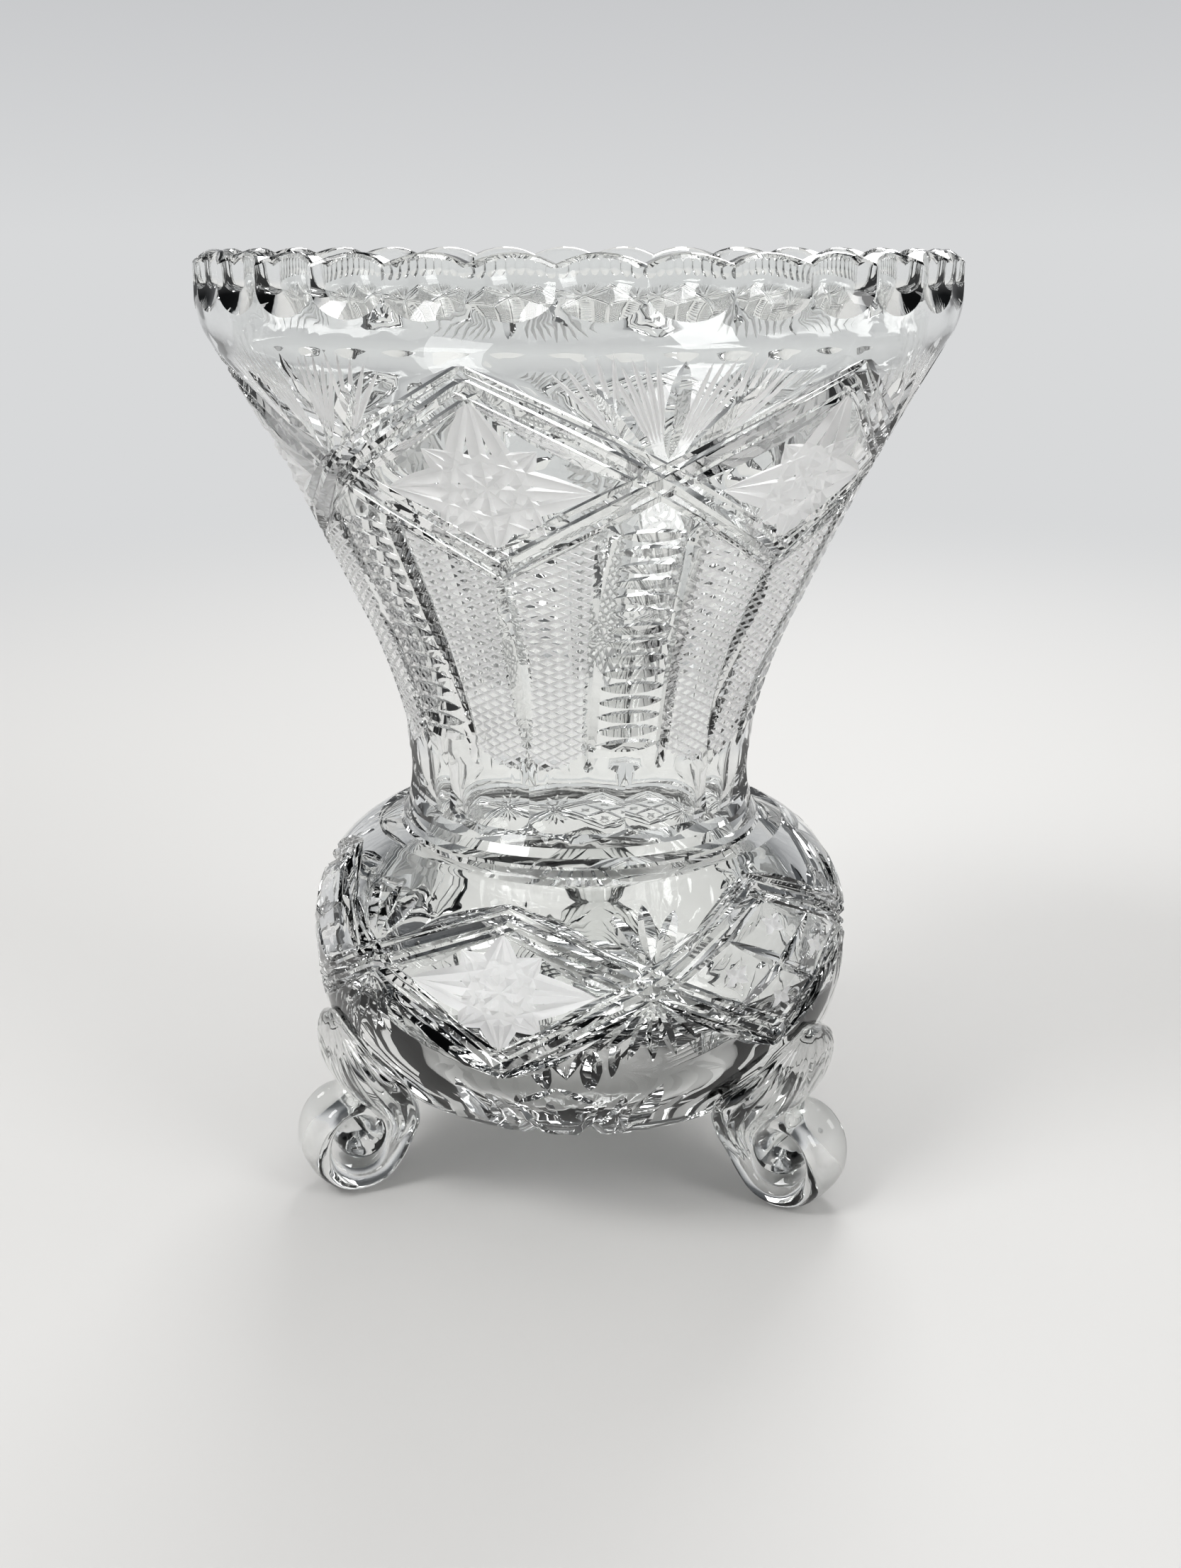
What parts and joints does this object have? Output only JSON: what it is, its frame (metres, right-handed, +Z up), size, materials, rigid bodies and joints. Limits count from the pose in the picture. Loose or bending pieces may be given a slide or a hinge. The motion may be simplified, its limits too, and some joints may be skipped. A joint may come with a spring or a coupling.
{
  "type": "cut crystal vase",
  "caption": "Heavy clear trumpet vase with a round bulb, deep ornamental cutting, a scalloped lip and curled scroll feet.",
  "frame": {"origin": "on the vessel's axis, at the level of the surface that the feet stand on", "axes": "+Z up along the vessel's axis, -Y to the front between two feet, +X to the right"},
  "size_m": [0.16, 0.16, 0.205],
  "materials": {
    "cut_crystal": "polished lead crystal with satin ground cuts",
    "scroll_crystal": "fire-polished hot-worked lead crystal"
  },
  "bodies": {
    "root": {"vase_body": "cut_crystal", "foot_front_right": "scroll_crystal", "foot_rear": "scroll_crystal", "foot_front_left": "scroll_crystal"}
  },
  "joints": []
}
